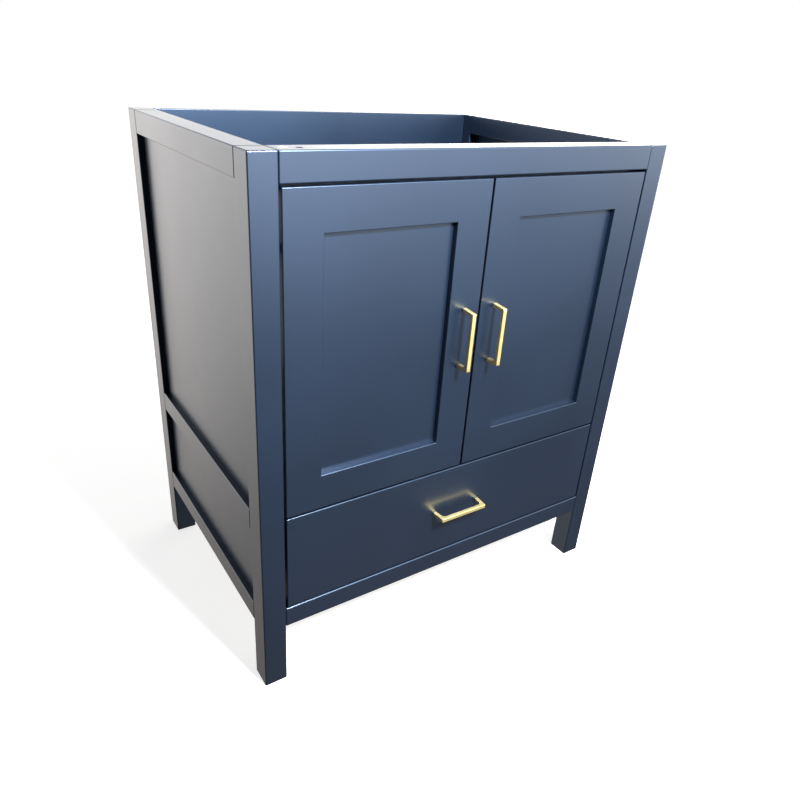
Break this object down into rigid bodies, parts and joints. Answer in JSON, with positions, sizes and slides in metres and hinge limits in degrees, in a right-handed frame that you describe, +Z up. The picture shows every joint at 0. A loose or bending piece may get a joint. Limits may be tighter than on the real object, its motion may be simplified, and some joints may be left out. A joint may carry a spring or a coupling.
{
  "type": "bathroom vanity cabinet",
  "caption": "Open-top bathroom vanity base with inset panelled doors over a slab-front drawer, framed by square posts that run down into legs, with bar pulls.",
  "frame": {"origin": "on the floor, at the middle of the whole object's width and depth, pulls included", "axes": "+X to the right seen from the front, -Y out of the doors, +Z up"},
  "size_m": [0.762, 0.56, 0.876],
  "materials": {
    "navy_lacquer": "satin navy lacquer on wood",
    "birch_ply": "clear satin on birch plywood",
    "satin_brass": "satin brushed brass",
    "nickel_steel": "bright nickel plate",
    "zinc_steel": "bright zinc plate",
    "steel_screw": "zinc plated",
    "white_cap": "matt white plastic",
    "clear_bumper": "soft translucent"
  },
  "bodies": {
    "carcass": {"back_bottom_rail": "navy_lacquer", "back_panel": "navy_lacquer", "back_top_rail": "navy_lacquer", "cam_covers": "white_cap", "cupboard_floor": "navy_lacquer", "door_bumpers": "clear_bumper", "door_stop": "navy_lacquer", "front_bottom_rail": "navy_lacquer", "front_left_post": "navy_lacquer", "front_right_post": "navy_lacquer", "front_top_rail": "navy_lacquer", "hinge_screws": "steel_screw", "left_hinge_arms": "nickel_steel", "left_side_bottom_rail": "navy_lacquer", "left_side_lower_panel": "navy_lacquer", "left_side_middle_rail": "navy_lacquer", "left_side_top_rail": "navy_lacquer", "left_side_upper_panel": "navy_lacquer", "left_slide_cleat": "birch_ply", "left_slide_outer": "zinc_steel", "rear_left_post": "navy_lacquer", "rear_right_post": "navy_lacquer", "right_hinge_arms": "nickel_steel", "right_side_bottom_rail": "navy_lacquer", "right_side_lower_panel": "navy_lacquer", "right_side_middle_rail": "navy_lacquer", "right_side_top_rail": "navy_lacquer", "right_side_upper_panel": "navy_lacquer", "right_slide_cleat": "birch_ply", "right_slide_outer": "zinc_steel"},
    "left_door": {"left_door_bottom_rail": "navy_lacquer", "left_door_hinge_stile": "navy_lacquer", "left_door_panel": "navy_lacquer", "left_door_pull": "satin_brass", "left_door_pull_screws": "steel_screw", "left_door_pull_stile": "navy_lacquer", "left_door_top_rail": "navy_lacquer", "left_hinge_cups": "nickel_steel"},
    "right_door": {"right_door_bottom_rail": "navy_lacquer", "right_door_hinge_stile": "navy_lacquer", "right_door_panel": "navy_lacquer", "right_door_pull": "satin_brass", "right_door_pull_screws": "steel_screw", "right_door_pull_stile": "navy_lacquer", "right_door_top_rail": "navy_lacquer", "right_hinge_cups": "nickel_steel"},
    "left_hinge_links": {"left_hinge_links": "nickel_steel"},
    "right_hinge_links": {"right_hinge_links": "nickel_steel"},
    "drawer": {"drawer_back": "birch_ply", "drawer_bottom": "birch_ply", "drawer_front": "navy_lacquer", "drawer_inner_front": "birch_ply", "drawer_left_side": "birch_ply", "drawer_pull": "satin_brass", "drawer_pull_screws": "steel_screw", "drawer_right_side": "birch_ply", "left_slide_inner": "zinc_steel", "right_slide_inner": "zinc_steel"},
    "slide_middles": {"slide_middle_members": "zinc_steel"}
  },
  "joints": [
    {"name": "left_door_swing", "type": "hinge", "parent": "carcass", "child": "left_door", "pos_m": [-0.3295, -0.248, 0.58725], "axis": [0, 0, -1], "range_deg": [0, 105]},
    {"name": "right_door_swing", "type": "hinge", "parent": "carcass", "child": "right_door", "pos_m": [0.3295, -0.248, 0.58725], "axis": [0, 0, 1], "range_deg": [0, 105]},
    {"name": "left_hinge_link_turn", "type": "hinge", "parent": "carcass", "child": "left_hinge_links", "pos_m": [-0.3365, -0.2278, 0.58725], "axis": [0, 0, -1], "range_deg": [0, 46.2]},
    {"name": "right_hinge_link_turn", "type": "hinge", "parent": "carcass", "child": "right_hinge_links", "pos_m": [0.3365, -0.2278, 0.58725], "axis": [0, 0, 1], "range_deg": [0, 46.2]},
    {"name": "drawer_slide", "type": "slide", "parent": "carcass", "child": "drawer", "axis": [0, -1, 0], "range_m": [0, 0.42]},
    {"name": "slide_middle_travel", "type": "slide", "parent": "carcass", "child": "slide_middles", "axis": [0, -1, 0], "range_m": [0, 0.21]}
  ],
  "couplings": [
    {"joint": "left_hinge_link_turn", "follows": "left_door_swing", "ratio": 0.44},
    {"joint": "right_hinge_link_turn", "follows": "right_door_swing", "ratio": 0.44},
    {"joint": "slide_middle_travel", "follows": "drawer_slide", "ratio": 0.5}
  ]
}
